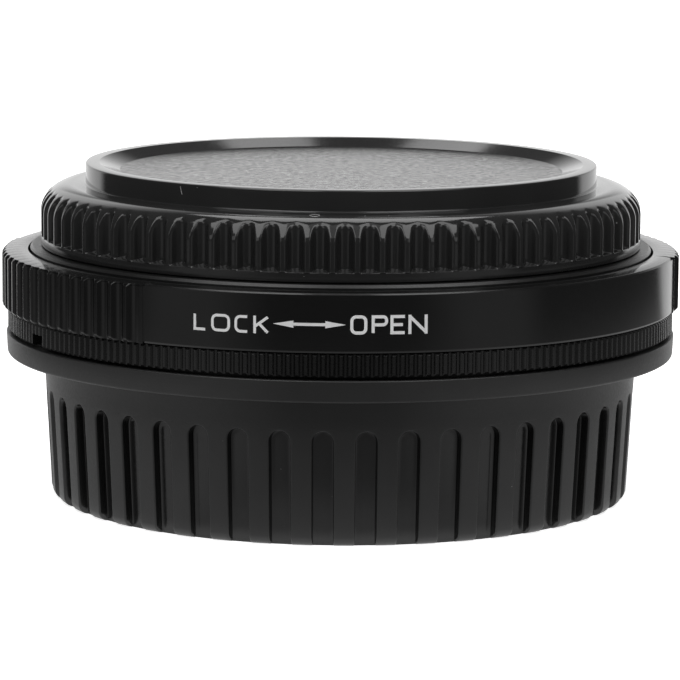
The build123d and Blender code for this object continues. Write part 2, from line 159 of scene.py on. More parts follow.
def carve(piece, cutter, crease):
    """Take one closed piece out of another. The cutter goes."""
    cut = piece.modifiers.new("cut", "BOOLEAN")
    cut.operation = "DIFFERENCE"
    cut.solver = "EXACT"
    cut.object = cutter
    carved = bpy.data.meshes.new_from_object(piece.evaluated_get(bpy.context.evaluated_depsgraph_get()))
    piece.modifiers.remove(cut)
    piece.data = carved
    bpy.data.objects.remove(cutter)
    shade(carved, crease)


def skin(rows, closed=False):
    """Shell over rings of points."""
    return np.concatenate(rows), skin_faces(rows, closed)


def capped(rows):
    """Shell over open rows of four corners, closed at both ends."""
    points, faces = skin(rows)
    last = len(points) - 4
    return points, faces + [[0, 1, 2, 3], [last, last + 1, last + 2, last + 3]]


def rounded(*corners, steps=5):
    """Outline through (radius, height) corners. A third number rounds that corner off."""
    outline = []
    for i, corner in enumerate(corners):
        here = np.array(corner[:2], float)
        if len(corner) < 3:
            outline.append(here)
            continue
        back = np.array(corners[i - 1][:2], float) - here
        ahead = np.array(corners[i + 1][:2], float) - here
        back /= np.linalg.norm(back)
        ahead /= np.linalg.norm(ahead)
        half_corner = acos(np.clip(back @ ahead, -1, 1)) / 2
        centre = here + (back + ahead) / np.linalg.norm(back + ahead) * corner[2] / sin(half_corner)
        first = here + back * corner[2] / tan(half_corner) - centre
        last = here + ahead * corner[2] / tan(half_corner) - centre
        for t in np.linspace(0, 1, steps):
            swing = first * (1 - t) + last * t
            outline.append(centre + swing / np.linalg.norm(swing) * corner[2])
    return outline


def turned(facings, *corners):
    """Rings of a plain turned form through (radius, height) corners."""
    return [ring(facings, radius, height) for radius, height in rounded(*corners)]


def lug(inner, outer, bottom, top, facing, width, steps=12):
    """Shell of one bayonet lug: a block that follows the wall."""
    section = [(inner, bottom), (outer, bottom), (outer, top), (inner, top)]
    rows = []
    for angle in np.linspace(facing - width / 2, facing + width / 2, steps):
        rows.append(np.concatenate([ring(np.array([angle]), radius, height) for radius, height in section]))
    return capped(rows)


def three_lugs(inner, outer, bottom, top, first, width):
    """Shells of three lugs, a third of a turn apart."""
    return [lug(inner, outer, bottom, top, first + turn * third_turn, width) for turn in range(3)]


def soft_min(a, b, blend):
    """Smaller of two radii, with the edge between them rounded off."""
    near = np.clip(blend - np.abs(a - b), 0, None) / blend
    return np.minimum(a, b) - near * near * blend / 4


# Flutes: hollows cut along the axis into a round edge


def round_hollow(floor, radius):
    """Floor of a flute that is part of a circle, as its radius at a distance from the flute's middle."""
    return lambda across: floor + radius - np.sqrt(np.maximum(radius**2 - across**2, 0))


def wedge_hollow(floor, angle, point_round):
    """Floor of a flute with two flat sides and a rounded point."""
    half = radians(angle / 2)
    point = floor + point_round - point_round / sin(half)
    nose = round_hollow(floor, point_round)

    def height(across):
        side = point + np.abs(across) / tan(half)
        return np.where(np.abs(across) < point_round * cos(half), nose(across), side)

    return height


class Flutes:
    """Evenly spaced flutes in a face of the given radius, with edges that are rounded over a soft width."""

    floor_shares = (0.35, 0.6, 0.8, 0.92)
    edge_columns = 7
    columns = 2 * (len(floor_shares) + edge_columns + 1) + 2
    widest_soft = 0.4
    table_steps = 400
    table_reach = 0.999

    def __init__(self, hollow, face, pitch, blend, soft):
        self.half_pitch = pitch / 2
        self.blend = blend
        self.soft_width = degrees(soft / face)
        self.angles = np.linspace(0, self.table_reach * self.half_pitch, self.table_steps)
        self.depths = hollow(face * np.sin(np.radians(self.angles)))

    def edge(self, face):
        """Half the angle of a flute where the face has this radius."""
        return float(np.interp(face, self.depths, self.angles))

    def face_at(self, edge):
        """Radius of the face where the flute is this wide."""
        return float(np.interp(edge, self.angles, self.depths))

    def offsets(self, edge):
        """Angles of the columns across one flute, close together at its two edges."""
        soft = min(self.soft_width, self.widest_soft * edge)
        side = [share * (edge - soft) for share in self.floor_shares]
        side += list(np.linspace(edge - soft, edge + soft, self.edge_columns))
        side.append((edge + soft + self.half_pitch) / 2)
        return np.array([-self.half_pitch] + [-angle for angle in reversed(side)] + [0.0] + side)

    def surface(self, offsets, face):
        """Radius of the fluted face at these angles from the middle of a flute."""
        return soft_min(face, np.interp(np.abs(offsets), self.angles, self.depths), self.blend)


# Front cap: fluted flange, raised rim and dished disc
flute_count = 80
flute_facing = 0.8
cap_radius = 29.15
cap_lip = 0.92
cap_lip_round = 0.12
flute_angle = 45.0
flute_round = 0.7
flute_depth = 0.95
flute_blend = 0.42
flute_soft = 0.18
shoulder_width = 3.0
shoulder_height = 2.6
ledge_slope = 0.2
ledge_rise = 0.01
rim_inset = 4.33
rim_height = 2.02
rim_land = 1.32
rim_round = 0.15
dish_slope = 2.0
dish_depth = 0.74
dish_round = 0.35
disc_rings = (17.0, 12.0, 7.0, 2.5)
disc_thickness = 1.6
grain_margin = 0.05
cap_hub = 4.0
cap_hollow_radius = 22.5
cap_hollow_round = 0.3
cap_plate_round = 0.1
cap_cavity_radius = 27.3
cap_cavity_round = 0.2
cap_plate_bottom = front_mount_high[2]
cap_lug_inner = 25.9
cap_lug_angle = 50.0
cap_lug_facing = 90.0
cap_lug_bottom = 24.61
cap_lug_top = 25.82

# Rows of its skin: the rounding of the lip (drop, inset), the ledge under the flutes (inset, rise), shares of
# the wall and of the flutes' width, depths past their floor and shares of the crown
lip_rows = ((0.6, 0.03), (0.2, 0.5), (0.0, 1.0))
ledge_rows = ((0.06, 0.0), (0.015, 0.015), (0.0, 0.06))
wall_rows = (0.3, 0.65, 1.0)
shoulder_rows = (0.995, 0.985, 0.97, 0.95, 0.92, 0.88, 0.82, 0.72, 0.6, 0.46, 0.3)
closing_rows = (-0.02, 0.03, 0.1, 0.18, 0.27, 0.36, 0.44)
crown_rows = (0.76, 0.64, 0.52, 0.4, 0.27, 0.13)
cap_plain_stride = 8


def front_cap_piece():
    bottom, top = front_cap_low[2], front_cap_high[2]
    flange_top = top - rim_height
    disc_top = top - dish_depth
    shoulder_bottom = flange_top - shoulder_height
    shoulder_top = cap_radius - shoulder_width
    flute_bottom = bottom + cap_lip
    rim_radius = cap_radius - rim_inset
    flute_floor = cap_radius - flute_depth
    hollow = wedge_hollow(flute_floor, flute_angle, flute_round)
    flutes = Flutes(hollow, cap_radius, full_turn / flute_count, flute_blend, flute_soft)
    middles = even_facings(flute_count, flute_facing)
    even = even_facings(flute_count * flutes.columns, flute_facing - flutes.half_pitch)
    plain = even[::cap_plain_stride]

    def shoulder_at(radius):
        reach = (radius - shoulder_top) / shoulder_width
        return shoulder_bottom + shoulder_height * (1 - reach**2) ** 0.5

    def fluted_row(offsets, face, height):
        return repeated(middles, offsets, flutes.surface(offsets, face), height)

    widest = flutes.edge(cap_radius)
    wide = flutes.offsets(widest)
    rows = [pole(disc_top - disc_thickness)]
    rows += turned(
        plain,
        (cap_hub, disc_top - disc_thickness),
        (cap_hollow_radius, disc_top - disc_thickness, cap_hollow_round),
        (cap_hollow_radius, cap_plate_bottom, cap_plate_round),
        (cap_cavity_radius, cap_plate_bottom, cap_cavity_round),
        (cap_cavity_radius, bottom, cap_lip_round),
        (cap_radius, bottom, cap_lip_round),
        (cap_radius, flute_bottom - 2 * cap_lip_round),
    )
    rows.append(ring(even, cap_radius, flute_bottom - cap_lip_round))
    floor = flutes.surface(wide, cap_radius)
    in_flute = floor < cap_radius - cap_lip_round
    for drop, inset in lip_rows:
        edge = np.where(in_flute, cap_radius - inset * cap_lip_round, cap_radius)
        rows.append(repeated(middles, wide, edge, flute_bottom - drop * cap_lip_round))
    ledge = ledge_slope * (cap_radius - floor)
    for inset, rise in ledge_rows:
        rows.append(repeated(middles, wide, floor + inset, flute_bottom + ledge + rise + ledge_rise))
    for share in wall_rows:
        rows.append(fluted_row(wide, cap_radius, flute_bottom + share * (shoulder_bottom - flute_bottom)))
    for share in shoulder_rows:
        face = flutes.face_at(share * widest)
        rows.append(fluted_row(flutes.offsets(share * widest), face, shoulder_at(face)))
    closing = flutes.offsets(shoulder_rows[-1] * widest)
    for past in closing_rows:
        face = flute_floor - past
        rows.append(fluted_row(closing, face, shoulder_at(face)))
    crown = [shoulder_top + share * (flute_floor - shoulder_top) for share in crown_rows]
    rows.append(ring(even, crown[0], shoulder_at(crown[0])))
    rows += turned(plain, *[(radius, shoulder_at(radius)) for radius in crown[1:]])
    rows += turned(
        plain,
        (shoulder_top, flange_top),
        (rim_radius, flange_top, rim_round),
        (rim_radius, top, rim_round),
        (rim_radius - rim_land, top, rim_round),
        (rim_radius - rim_land - dish_slope, disc_top, dish_round),
        *[(radius, disc_top) for radius in disc_rings],
    )
    rows.append(pole(disc_top))
    outer = (cap_cavity_radius + cap_radius) / 2
    lugs = three_lugs(cap_lug_inner, outer, cap_lug_bottom, cap_lug_top, cap_lug_facing, cap_lug_angle)
    return new_piece("front_cap_shell", [skin(rows), *lugs])


def on_disc(centre):
    """Whether a point of the front cap lies on the grained face of its disc."""
    grained = cap_radius - rim_inset - rim_land - dish_slope
    lowest = front_cap_high[2] - dish_depth - grain_margin
    return centre.z > lowest * mm and centre.xy.length < grained * mm


# Control ring: smooth lettered band and two fluted finger pads
ring_radius = 32.5
ring_bore = 28.95
ring_counterbore = 30.4
ring_lip_top = 22.0
ring_lip_round = 0.1
ring_lip_land = 0.3
ring_underside = 30.5
ring_crown = 0.08
ring_crown_rise = 0.1
ring_top_bevel = 0.3
ring_bottom_bevel = 0.2
ring_bottom_inset = 0.13
ring_edge_round = 0.08
ring_edge_land = 1.0
ring_plain_columns = 140
pad_bevel = 0.3
pad_bevel_rows = (0.8, 0.95, 1.05, 1.3)
pad_edge_blend = 0.08
pad_radius = 32.95
pad_angle = 66.6
pad_facing = -66.7
pad_flute_count = 21
pad_flute_radius = 0.85
pad_flute_depth = 0.45
pad_flute_blend = 0.1
pad_flute_soft = 0.08
pad_end_step = 0.1
pad_foot = 0.08
pad_knee = 0.02
pad_knee_height = 0.06
drive_hole_radius = 0.75
drive_hole_height = 19.7
drive_hole_facings = (160.0, 225.0)
drive_hole_overrun = 1.0


def ring_columns():
    """Facings round the control ring, the radius of its outside and whether a finger pad is there."""
    pitch = pad_angle / pad_flute_count
    hollow = round_hollow(pad_radius - pad_flute_depth, pad_flute_radius)
    flutes = Flutes(hollow, pad_radius, pitch, pad_flute_blend, pad_flute_soft)
    offsets = flutes.offsets(flutes.edge(pad_radius))
    heights = flutes.surface(offsets, pad_radius)
    end_land, knee = ring_radius + pad_end_step, ring_radius + pad_knee_height
    parts = []

    def add(facings, radii, padded):
        parts.append(np.broadcast_arrays(facings, radii, padded))

    for start in (pad_facing - pad_angle / 2, pad_facing + half_turn - pad_angle / 2):
        end = start + pad_angle
        add([start - pad_foot, start - pad_knee], [ring_radius, knee], [False, True])
        for flute in range(pad_flute_count):
            first, last = flute == 0, flute == pad_flute_count - 1
            outermost = (first & (offsets < 0)) | (last & (offsets > 0))
            radii = np.where(outermost, np.minimum(heights, end_land), heights)
            add(start + pitch * (flute + 0.5) + offsets, radii, True)
        add([end, end + pad_knee, end + pad_foot], [end_land, knee, ring_radius], [True, True, False])
        plain = np.linspace(end + pad_foot, start + half_turn - pad_foot, ring_plain_columns)[1:-1]
        add(plain, ring_radius, False)
    return [np.concatenate(values) for values in zip(*parts)]


def control_ring_piece():
    bottom = ring_low[2]
    top = ring_high[2] - ring_crown
    facings, outside, padded = ring_columns()
    rows = turned(
        facings,
        (ring_bore, ring_lip_top, ring_lip_round),
        (ring_bore, bottom, ring_lip_round),
        (ring_underside, bottom),
    )
    plain_edge = rounded(
        (ring_radius - ring_edge_land, bottom),
        (ring_radius - ring_bottom_inset, bottom, ring_edge_round),
        (ring_radius, bottom + ring_bottom_bevel, ring_edge_round),
        *[(ring_radius, bottom + share * pad_bevel) for share in pad_bevel_rows],
        (ring_radius, 0.5 * (bottom + top)),
        *[(ring_radius, top - share * pad_bevel) for share in reversed(pad_bevel_rows)],
        (ring_radius, top - ring_top_bevel, ring_edge_round),
        (ring_radius - ring_top_bevel, top, ring_edge_round),
        (ring_radius - ring_edge_land, top),
    )
    heights = np.array([height for _, height in plain_edge[1:-1]])
    pad_edge = pad_radius - np.clip(pad_bevel - np.minimum(heights - bottom, top - heights), 0, None)
    for (radius, height), limit in zip(plain_edge[1:-1], pad_edge):
        face = np.where(padded, soft_min(outside, limit, pad_edge_blend), radius)
        rows.append(ring(facings, np.maximum(face, radius), height))
    rows += turned(
        facings,
        (ring_radius - ring_edge_land, top + ring_crown_rise),
        (ring_counterbore, top + ring_crown, ring_edge_round),
        (ring_counterbore, ring_lip_top),
        (ring_bore + ring_lip_land, ring_lip_top),
    )
    piece = new_piece("control_ring_shell", [skin(rows, closed=True)])
    holes = [drive_hole(facing) for facing in drive_hole_facings]
    carve(piece, new_piece("drive_holes", holes), crease_angle)
    return piece


def drive_hole(facing, steps=24):
    """Shell of a round bar across the wall of the control ring."""
    turns = np.radians(even_facings(steps))
    rows = []
    for reach in (ring_bore - drive_hole_overrun, pad_radius + drive_hole_overrun):
        across = np.degrees(drive_hole_radius * np.cos(turns) / reach)
        rows.append(ring(facing + across, reach, drive_hole_height + drive_hole_radius * np.sin(turns)))
    points, faces = skin(rows)
    return points, faces + [list(range(steps)), list(range(steps, 2 * steps))]


# Legend of the control ring: two words and a double arrow, in thin raised paint
legend_height = 0.012
legend_root = 0.03
legend_arrow = (-10.71, 0.98)
legend_arrow_height = 21.23
legend_shaft = 0.27
legend_head_length = 1.88
legend_head_width = 0.65
legend_head_rows = (0.04, 0.35, 0.7, 1.0)
legend_head_lift = 1.3
legend_neck = 0.8
legend_overlap = 0.2
lock_letters = {"L": (-24.0, -21.74), "O": (-20.93, -17.73), "C": (-16.98, -14.65), "K": (-13.87, -11.35)}
lock_low = 20.28
lock_high = 21.88
lock_stroke = 0.25
lock_turn = 0.42
open_letters = {"O": (1.6, 4.31), "P": (4.98, 7.6), "E": (7.97, 10.52), "N": (10.86, 13.98)}
open_low = 20.36
open_high = 22.1
open_stroke = 0.28
open_turn = 0.4

# Proportions of the letters: bowl of the P, arm and leg of the K, short bar of the E
bowl_share = 0.22
arm_share = 0.36
leg_rise = 0.06
bar_gap = 0.15


def glyph(letter, left, right, low, high, turn):
    """Strokes of a letter in its box. A third number rounds a corner off."""
    middle = (low + high) / 2
    centre = (left + right) / 2
    width, height = right - left, high - low
    loop = [(right, high, turn), (right, low, turn), (left, low, turn), (left, high, turn)]
    bowl = min(turn, bowl_share * height)
    strokes = {
        "L": [[(left, high), (left, low), (right, low)]],
        "O": [[(centre, high), *loop, (centre, high)]],
        "C": [[(right, high), (left, high, turn), (left, low, turn), (right, low)]],
        "K": [
            [(left, high), (left, low)],
            [(right, high), (left, low + arm_share * height)],
            [(left + arm_share * width, middle + leg_rise * height), (right, low)],
        ],
        "P": [[(left, low), (left, high), (right, high, bowl), (right, middle, bowl), (left, middle)]],
        "E": [
            [(right, high), (left, high), (left, low), (right, low)],
            [(left, middle), (right - bar_gap * width, middle)],
        ],
        "N": [[(left, low), (left, high)], [(left, high), (right, low)], [(right, low), (right, high)]],
    }
    return strokes[letter]


def paint_row(radius, root, top, along, low, high):
    """Four corners of a layer of paint on a round wall, at one place along it."""
    facing = np.degrees(np.array(along) / radius)
    outer = ring(facing, radius + top, np.array([low, high]))
    inner = ring(facing[::-1], radius - root, np.array([high, low]))
    return np.concatenate([outer, inner])


def brush(radius, corners, width, lift, step=0.2):
    """Shell of one painted stroke through (distance round the wall, height) corners."""
    path = np.array(rounded(*corners, steps=7))
    parts = [path[:1]]
    for start, end in zip(path[:-1], path[1:]):
        count = max(int(np.ceil(np.linalg.norm(end - start) / step)), 1)
        parts.append(start + (end - start) * np.linspace(0, 1, count + 1)[1:, None])
    path = np.concatenate(parts)
    closed = np.allclose(path[0], path[-1])
    if closed:
        path = path[:-1]
    ahead = np.roll(path, -1, axis=0) - path
    ahead /= np.linalg.norm(ahead, axis=1)[:, None]
    behind = np.roll(ahead, 1, axis=0)
    if not closed:
        ahead[-1] = behind[-1]
        behind[0] = ahead[0]
    side = np.stack([-(ahead + behind)[:, 1], (ahead + behind)[:, 0]], axis=1)
    reach = side / (np.linalg.norm(side, axis=1) ** 2)[:, None] * width
    rows = []
    for point, turn in zip(path, reach):
        left, right = point + turn, point - turn
        rows.append(paint_row(radius, legend_root, lift, [left[0], right[0]], left[1], right[1]))
    return skin(rows, closed=True) if closed else capped(rows)


def arrow_head(radius, tip, back, height):
    """Shell of a slim arrow head."""
    rows = []
    for share in legend_head_rows:
        along = tip + share * (back - tip)
        half = share * legend_head_width / 2
        low, high = height - half, height + half
        lift = legend_head_lift * legend_height
        rows.append(paint_row(radius, legend_root, lift, [along, along], low, high))
    return capped(rows)


def extended(corners, reach):
    """Stroke made longer at both ends, so that it meets the ones beside it."""
    corners = [np.array(corner, float) for corner in corners]
    way = corners[-1] - corners[0]
    way /= np.linalg.norm(way)
    return [corners[0] - way * reach, corners[-1] + way * reach]


def word(letters, low, high, stroke, turn):
    """Painted strokes of one word on the control ring."""
    half = stroke / 2
    shells = []
    for letter, (start, end) in letters.items():
        left = radians(start) * ring_radius + half
        right = radians(end) * ring_radius - half
        for order, corners in enumerate(glyph(letter, left, right, low + half, high - half, turn)):
            if letter in "KN":
                upright = order == 0 or (letter, order) == ("N", 2)
                corners = extended(corners, half if upright else stroke / 6)
            lift = legend_height * (1 + legend_overlap * order)
            shells.append(brush(ring_radius, corners, stroke, lift))
    return shells


def legend_piece():
    start, end = (radians(facing) * ring_radius for facing in legend_arrow)
    neck = legend_neck * legend_head_length
    shaft = [(start + neck, legend_arrow_height), (end - neck, legend_arrow_height)]
    shells = [brush(ring_radius, shaft, legend_shaft, legend_height)]
    shells.append(arrow_head(ring_radius, start, start + legend_head_length, legend_arrow_height))
    shells.append(arrow_head(ring_radius, end, end - legend_head_length, legend_arrow_height))
    shells += word(lock_letters, lock_low, lock_high, lock_stroke, lock_turn)
    shells += word(open_letters, open_low, open_high, open_stroke, open_turn)
    return new_piece("ring_legend", shells)


# Body: straight knurl cut into the band under the control ring
knurl_count = 254
knurl_depth = 0.22
knurl_skim = 0.015
knurl_spill = 0.4
knurl_columns = (0.0, 0.28, 0.52, 0.76)
knurl_cutter_wall = 1.5
knurl_crease = 25.0
weld_reach = 1e-7
band_height = 2.1


def knurled_body_piece():
    node = frame["nodes"]["adapter_body"]
    work = bmesh.new()
    work.from_mesh(node.data)
    bmesh.ops.remove_doubles(work, verts=work.verts, dist=weld_reach)
    points = np.array([node.matrix_world @ vertex.co for vertex in work.verts]) / mm
    faces = [[vertex.index for vertex in face.verts] for face in work.faces]
    work.free()
    piece = new_piece("adapter_body_knurled", [(points, faces)])
    crest = body_high[0] - knurl_skim
    pitch = full_turn / knurl_count
    middles = even_facings(knurl_count)
    offsets = pitch * np.array(knurl_columns)
    ribs = [crest, crest, crest - knurl_depth, crest - knurl_depth]
    low, high = band_bottom - knurl_spill, band_bottom + band_height + knurl_spill
    rows = [repeated(middles, offsets, ribs, height) for height in (low, high)]
    rows += [repeated(middles, offsets, crest + knurl_cutter_wall, height) for height in (high, low)]
    carve(piece, new_piece("knurl_cutter", [skin(rows, closed=True)]), knurl_crease)
    return piece


# Rear cap: drafted cup with a flange and round-topped grip slots
slot_count = 45
slot_facing = -3.0
slot_half_width = 1.0
slot_depth = 0.9
slot_top = 10.8
rear_wall_radius = 28.9
rear_draft = 3.1
rear_flange_height = 2.06
rear_flange_draft = 0.1
rear_foot_round = 0.95
rear_foot_width = 3.0
rear_foot_recess = 0.4
rear_foot_hub = 5.0
rear_recess_round = 0.2
rear_rest_round = 0.15
rear_rest_land = 0.5
rear_fillet = 0.25
rear_flange_round = 0.3
rear_lip_rounds = (0.1, 0.2)
rear_step_rounds = (0.1, 0.15)
rear_floor = 2.0
rear_floor_round = 0.5
rear_floor_rings = (14.0, 4.0)
rear_bore = 26.05
rear_cavity = 27.25
rear_step = 13.2
rear_lug_inner = 25.85
rear_lug_root = 1.0
rear_lug_bottom = 15.1
rear_lug_top = 16.0
rear_lug_angle = 46.0
rear_lug_facing = 60.0
rear_lean = tan(radians(rear_draft))
rear_base_radius = rear_wall_radius - (rear_cap_high[2] - rear_flange_height) * rear_lean

# Section of a slot's edge: distances out from the edge, and the share of the depth that the wall falls there
slot_edges = np.array([-0.45, -0.16, -0.06, -0.03, 0.0, 0.04, 0.09, 0.14, 0.2])
slot_falls = np.array([1.0, 1.0, 0.94, 0.78, 0.16, 0.05, 0.013, 0.0, 0.0])
slot_pinch = 0.004

# Rows up the slots, up their arches and over them
slot_first_row = 2.0
slot_rows = 5
arch_rows = (0.3, 0.55, 0.72, 0.84, 0.9, 0.94, 0.97, 1.0, 1.04, 1.09)
over_slot_rows = (0.14, 0.2, 0.3)
over_slot_plain = 0.8
rear_plain_stride = 5

# Where a slot counts as floor, which gets a darker colour as painted shade: shares of its depth, and the
# lowest height
slot_floor_depths = (0.25, 1.2)
slot_floor_bottom = 0.3


def rear_wall_at(height):
    """Radius of the rear cap's drafted wall."""
    return rear_base_radius + height * rear_lean


def in_slot(centre):
    """Whether a point of the rear cap lies on the floor of a grip slot, where the painted shade goes."""
    height = centre.z / mm
    depth = rear_wall_at(height) - centre.xy.length / mm
    least, most = slot_floor_depths
    return least * slot_depth < depth < most * slot_depth and slot_floor_bottom < height < slot_top


def rear_cap_piece():
    top = rear_cap_high[2]
    flange_radius = rear_cap_high[0]
    flange_bottom = top - rear_flange_height
    foot_radius = rear_base_radius - rear_foot_width
    half_pitch = full_turn / slot_count / 2
    middles = even_facings(slot_count, slot_facing)
    even = even_facings(slot_count * (2 * len(slot_edges) + 4), slot_facing - half_pitch)
    plain = even[::rear_plain_stride]
    arch_centre = slot_top - slot_half_width

    def slot_row(radius, height):
        """Ring across all slots where the wall has this radius and height."""
        above = max(height - arch_centre, 0.0)
        reach = np.maximum((slot_half_width + slot_edges) ** 2 - above**2, 0) ** 0.5
        reach = np.maximum(reach, slot_pinch * np.arange(1, len(slot_edges) + 1))
        past = above - slot_half_width
        fall = np.interp(np.maximum(slot_edges, past), slot_edges, slot_falls)
        middle_fall = np.interp(past, slot_edges, slot_falls)
        full = max(radius - rear_wall_at(height) + slot_depth, 0.0)
        side = np.degrees(reach / radius)
        land = (side[-1] + half_pitch) / 2
        offsets = np.concatenate([[-half_pitch, -land], -side[::-1], [0.0], side, [land]])
        falls = np.concatenate([[0, 0], fall[::-1], [middle_fall], fall, [0]])
        return repeated(middles, offsets, radius - falls * full, height)

    wall = rounded(
        (foot_radius, 0),
        (rear_base_radius, 0, rear_foot_round),
        (rear_wall_radius, flange_bottom),
        steps=9,
    )
    rows = [pole(rear_foot_recess)]
    rows += turned(
        plain,
        (rear_foot_hub, rear_foot_recess),
        (foot_radius, rear_foot_recess, rear_recess_round),
        (foot_radius, 0, rear_rest_round),
        (rear_base_radius - rear_foot_round - rear_rest_land, 0),
    )
    for radius, height in wall[1:-1]:
        rows.append(slot_row(radius, height))
    levels = list(np.linspace(slot_first_row, arch_centre, slot_rows))
    levels += [arch_centre + rise for rise in arch_rows]
    for height in levels:
        rows.append(slot_row(rear_wall_at(height), height))
    for rise in over_slot_rows:
        rows.append(ring(even, rear_wall_at(slot_top + rise), slot_top + rise))
    plain_from = slot_top + over_slot_plain
    rows += turned(
        plain,
        (rear_wall_at(plain_from), plain_from),
        (rear_wall_radius, flange_bottom, rear_fillet),
        (flange_radius - rear_flange_draft, flange_bottom, rear_flange_round),
        (flange_radius, top, rear_lip_rounds[0]),
        (rear_cavity, top, rear_lip_rounds[1]),
        (rear_cavity, rear_step, rear_step_rounds[0]),
        (rear_bore, rear_step, rear_step_rounds[1]),
        (rear_bore, rear_floor, rear_floor_round),
        *[(radius, rear_floor) for radius in rear_floor_rings],
    )
    rows.append(pole(rear_floor))
    outer = rear_cavity + rear_lug_root
    lugs = three_lugs(rear_lug_inner, outer, rear_lug_bottom, rear_lug_top, rear_lug_facing, rear_lug_angle)
    return new_piece("rear_cap_shell", [skin(rows), *lugs])


# Marks of use: specks of dust, a scratch on the rim and a nick in the crown of the front cap
mark_sink = 0.02
mark_lift = 0.015
wall_tilt = 90.0
crown_mark_radius = 26.7
crown_mark_height = 30.356
crown_mark_tilt = 9.2
scratch_top = (-36.7, 32.15)
scratch_bottom = (-36.2, 31.42)
scratch_width = 0.06
nick_facing = -5.1
nick_size = (0.9, 0.6)
nick_edge = 0.12
nick_waver = 0.05
nick_waves = 3

# Specks of the front cap: facing, height, width and length on its walls, without the height on its crown
rim_speck = (-32.2, 32.19, 0.26, 0.13)
flange_speck = (-6.5, 25.09, 0.22, 0.08)
crown_specks = ((4.7, 0.16, 0.3), (9.4, 0.12, 0.25))

# Specks of the rear cap: facing, height and width, on the ribs and in the slots
rear_speck_length = 0.1
rib_specks = ((34.2, 4.89, 0.34), (-21.8, 9.54, 0.12))
slot_specks = ((19.5, 1.18, 0.12), (-11.1, 7.07, 0.13), (-1.3, 4.6, 0.12))


def on_face(facing, radius, height, tilt):
    """Middle, sideways, upward and outward directions of a place on a face. A wall has a tilt of 90."""
    turn, lean = radians(facing), radians(tilt)
    outward = np.array([sin(turn), -cos(turn), 0.0])
    upright = np.array([0.0, 0.0, 1.0])
    side = np.array([cos(turn), sin(turn), 0.0])
    rise = upright * sin(lean) - outward * cos(lean)
    return outward * radius + upright * height, side, rise, outward * sin(lean) + upright * cos(lean)


def speck(facing, radius, height, tilt, across, tall, steps=10):
    """Shell of a low speck that lies on a face."""
    middle, side, rise, normal = on_face(facing, radius, height, tilt)
    points = []
    for turn in np.radians(even_facings(steps)):
        edge = middle + side * cos(turn) * across / 2 + rise * sin(turn) * tall / 2
        points.append(edge - normal * mark_sink)
    points.append(middle + normal * mark_lift)
    faces = [[i, (i + 1) % steps, steps] for i in range(steps)]
    return np.array(points), faces + [list(range(steps))]


def nick(steps=28):
    """Shell of the raised edge round the nick, an open oval with an uneven width."""
    middle, side, rise, normal = on_face(nick_facing, crown_mark_radius, crown_mark_height, crown_mark_tilt)
    rows = []
    for turn in np.radians(even_facings(steps)):
        way = side * cos(turn) * nick_size[0] / 2 + rise * sin(turn) * nick_size[1] / 2
        width = nick_edge + nick_waver * sin(nick_waves * turn)
        inner = middle + way * (1 - width)
        outer = middle + way * (1 + width)
        crest = (inner + outer) / 2 + normal * mark_lift
        rows.append(np.array([inner - normal * mark_sink, crest, outer - normal * mark_sink]))
    return skin(rows, closed=True)


def front_marks_piece():
    rim_radius = cap_radius - rim_inset
    scratch = [(radians(facing) * rim_radius, height) for facing, height in (scratch_top, scratch_bottom)]
    crown = (crown_mark_radius, crown_mark_height, crown_mark_tilt)
    shells = [brush(rim_radius, scratch, scratch_width, mark_lift), nick()]
    for radius, (facing, height, *size) in ((rim_radius, rim_speck), (cap_radius, flange_speck)):
        shells.append(speck(facing, radius, height, wall_tilt, *size))
    for facing, *size in crown_specks:
        shells.append(speck(facing, *crown, *size))
    return new_piece("front_cap_marks", shells)


def rear_marks_piece():
    shells = []
    for depth, specks in ((0.0, rib_specks), (slot_depth, slot_specks)):
        for facing, height, across in specks:
            radius = rear_wall_at(height) - depth
            shells.append(speck(facing, radius, height, wall_tilt, across, rear_speck_length))
    return new_piece("rear_cap_marks", shells)


front_cap = front_cap_piece()
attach(front_cap, "front_cap")
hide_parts("front_cap")

control_ring = control_ring_piece()
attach(control_ring, "control_ring")
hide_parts("control_ring")

legend = legend_piece()
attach(legend, "control_ring")

body = knurled_body_piece()
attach(body, "adapter")
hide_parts("adapter_body")

rear_cap = rear_cap_piece()
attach(rear_cap, "rear_cap")
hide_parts("rear_cap")

front_marks = front_marks_piece()
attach(front_marks, "front_cap")
rear_marks = rear_marks_piece()
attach(rear_marks, "rear_cap")


# Materials


def new_material(name):
    """Material with a bare shader. Returns it, its node tree, the shader and the object's coordinates."""
    material = bpy.data.materials.new(name)
    material.use_nodes = True
    tree = material.node_tree
    place = add_node(tree, "TexCoord", {})["Object"]
    return material, tree, tree.nodes["Principled BSDF"], place


def feed(tree, node, inputs):
    """Give a node its inputs, each a fixed value or another node's output. Returns its outputs."""
    for socket, value in inputs.items():
        if isinstance(value, bpy.types.NodeSocket):
            tree.links.new(value, node.inputs[socket])
        else:
            node.inputs[socket].default_value = value
    return node.outputs


def add_node(tree, kind, inputs):
    """Outputs of a new node."""
    return feed(tree, tree.nodes.new("ShaderNode" + kind), inputs)


def noise(tree, place, scale, detail=3.0):
    """Noise over the object's own coordinates, in waves per metre."""
    return add_node(tree, "TexNoise", {"Vector": place, "Scale": scale, "Detail": detail})["Fac"]


def cells(tree, place, scale, feature="F1"):
    """Cell texture over the object's own coordinates, in cells per metre."""
    texture = tree.nodes.new("ShaderNodeTexVoronoi")
    texture.feature = feature
    return feed(tree, texture, {"Vector": place, "Scale": scale})


def spread(tree, value, low=0.0, high=1.0, start=0.3, end=0.7):
    """Number that runs from low to high as a texture value runs from start to end."""
    limits = {"From Min": start, "From Max": end, "To Min": low, "To Max": high}
    return add_node(tree, "MapRange", {"Value": value, **limits})["Result"]


